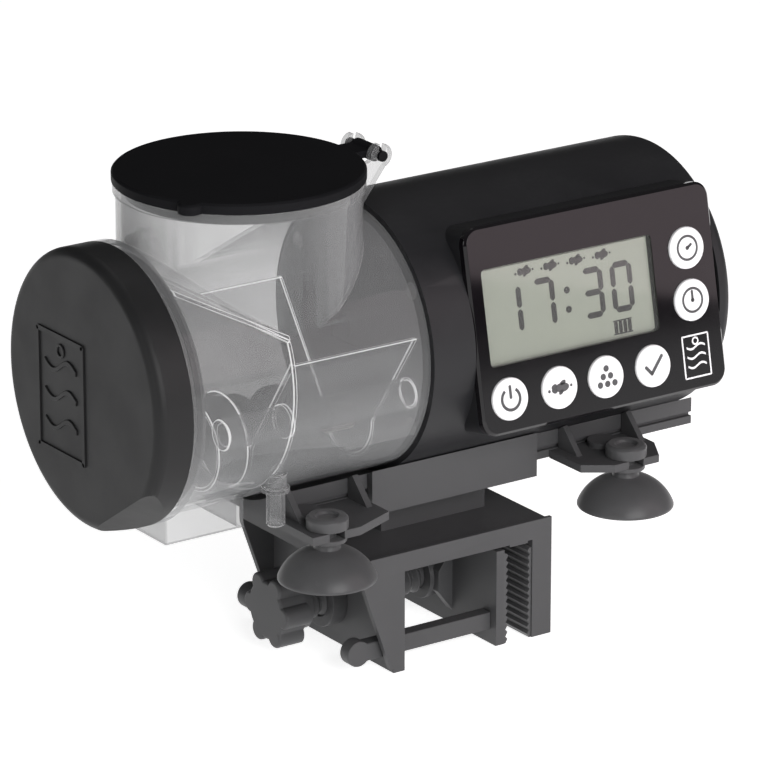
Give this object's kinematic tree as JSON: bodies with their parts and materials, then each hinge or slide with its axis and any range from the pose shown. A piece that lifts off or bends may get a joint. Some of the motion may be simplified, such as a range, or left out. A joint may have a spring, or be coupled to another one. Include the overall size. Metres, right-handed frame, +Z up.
{
  "type": "automatic fish feeder",
  "caption": "Automatic fish feeder: clear auger hopper with hinged lid, battery drive housing with timer panel, suction-cup holder rail and screw clamp for an aquarium rim.",
  "frame": {"origin": "middle of the clamp's glass stop, on the underside of its top plate between the jaws", "axes": "+X along the feeder from the end cap to the drive housing, +Y to the back, away from the control panel, +Z up"},
  "size_m": [0.184, 0.0846, 0.1392],
  "materials": {
    "black_plastic": "satin",
    "cap_plastic": "satin",
    "lid_plastic": "satin",
    "holder_plastic": "satin",
    "clear_plastic": "clear",
    "gloss_black": "polished",
    "display_glass": "clear",
    "lcd": "satin",
    "white_button": "satin",
    "soft_rubber": "satin",
    "seal_rubber": "matt",
    "gear_plastic": "satin",
    "steel": "brushed",
    "cell_jacket": "satin",
    "circuit_board": "satin"
  },
  "bodies": {
    "clamp": {"clamp_frame": "holder_plastic", "clamp_shoe": "holder_plastic", "shoe_screws": "steel", "fixed_jaw_pad": "soft_rubber", "clamp_nut": "holder_plastic"},
    "jaw": {"movable_jaw": "holder_plastic", "moving_jaw_pad": "soft_rubber", "guide_bars": "holder_plastic"},
    "spindle": {"clamp_spindle": "holder_plastic", "clamp_knob": "holder_plastic"},
    "lid": {"lid": "lid_plastic", "lid_seal": "seal_rubber"},
    "cap": {"end_cap": "cap_plastic", "cap_seal": "seal_rubber"},
    "auger_drive": {"auger": "clear_plastic", "drive_coupling": "gear_plastic", "output_gear": "gear_plastic"},
    "idler": {"idler_gear": "gear_plastic"},
    "pinion": {"motor_pinion": "gear_plastic"},
    "door": {"battery_door": "black_plastic"},
    "button_power": {"button_power": "white_button"},
    "button_feed_now": {"button_feed_now": "white_button"},
    "button_portion": {"button_portion": "white_button"},
    "button_set": {"button_set": "white_button"},
    "button_hour": {"button_hour": "white_button"},
    "button_minute": {"button_minute": "white_button"},
    "feeder": {"food_container": "clear_plastic", "hopper_insert": "clear_plastic", "hopper_ramp": "clear_plastic", "air_duct": "clear_plastic", "air_nozzle": "clear_plastic", "idler_axle": "steel", "gear_plate": "black_plastic", "drive_motor": "steel", "shaft_seal": "seal_rubber", "housing_shell": "black_plastic", "housing_end": "black_plastic", "case_screws": "steel", "panel_bezel": "gloss_black", "display_window": "display_glass", "lcd_module": "lcd", "control_board": "circuit_board", "switch_domes": "steel", "battery_tray": "black_plastic", "battery_cells": "cell_jacket", "battery_contacts": "steel", "battery_springs": "steel", "holder_rail": "holder_plastic", "rail_screws": "steel", "arm_left": "holder_plastic", "arm_right": "holder_plastic", "suction_cup_left": "soft_rubber", "suction_cup_right": "soft_rubber"}
  },
  "joints": [
    {"name": "rail_slide", "type": "slide", "parent": "clamp", "child": "feeder", "axis": [1, 0, 0], "range_m": [-0.005, 0.0025]},
    {"name": "spindle_turn", "type": "hinge", "parent": "jaw", "child": "spindle", "pos_m": [-0.04, 0, -0.0146], "axis": [1, 0, 0], "range_deg": [-1202, 542]},
    {"name": "jaw_slide", "type": "slide", "parent": "clamp", "child": "jaw", "axis": [1, 0, 0], "range_m": [-0.01, 0.0045]},
    {"name": "lid_hinge", "type": "hinge", "parent": "feeder", "child": "lid", "pos_m": [-0.0292, 0, 0.1083], "axis": [0, 1, 0], "range_deg": [0, 105]},
    {"name": "cap_pull", "type": "slide", "parent": "feeder", "child": "cap", "axis": [-1, 0, 0], "range_m": [0, 0.02]},
    {"name": "door_pull", "type": "slide", "parent": "feeder", "child": "door", "axis": [0, 1, 0], "range_m": [0, 0.012]},
    {"name": "auger_spin", "type": "hinge", "parent": "feeder", "child": "auger_drive", "pos_m": [-0.04, 0, 0.0369], "axis": [1, 0, 0], "continuous": true},
    {"name": "idler_spin", "type": "hinge", "parent": "feeder", "child": "idler", "pos_m": [-0.0265, 0, 0.0609], "axis": [1, 0, 0], "continuous": true},
    {"name": "pinion_spin", "type": "hinge", "parent": "feeder", "child": "pinion", "pos_m": [-0.0265, -0.0084, 0.07545], "axis": [1, 0, 0], "continuous": true},
    {"name": "press_power", "type": "slide", "parent": "feeder", "child": "button_power", "axis": [0, 0.9802, -0.1978], "range_m": [0, 0.0007], "stiffness_N_per_m": 400},
    {"name": "press_feed_now", "type": "slide", "parent": "feeder", "child": "button_feed_now", "axis": [0, 0.9802, -0.1978], "range_m": [0, 0.0007], "stiffness_N_per_m": 400},
    {"name": "press_portion", "type": "slide", "parent": "feeder", "child": "button_portion", "axis": [0, 0.9802, -0.1978], "range_m": [0, 0.0007], "stiffness_N_per_m": 400},
    {"name": "press_set", "type": "slide", "parent": "feeder", "child": "button_set", "axis": [0, 0.9802, -0.1978], "range_m": [0, 0.0007], "stiffness_N_per_m": 400},
    {"name": "press_hour", "type": "slide", "parent": "feeder", "child": "button_hour", "axis": [0, 0.9802, -0.1978], "range_m": [0, 0.0007], "stiffness_N_per_m": 400},
    {"name": "press_minute", "type": "slide", "parent": "feeder", "child": "button_minute", "axis": [0, 0.9802, -0.1978], "range_m": [0, 0.0007], "stiffness_N_per_m": 400}
  ],
  "couplings": [
    {"joint": "spindle_turn", "follows": "jaw_slide", "rad_per_m": 2094.4},
    {"joint": "idler_spin", "follows": "auger_spin", "ratio": -1},
    {"joint": "pinion_spin", "follows": "auger_spin", "ratio": 2.5}
  ]
}
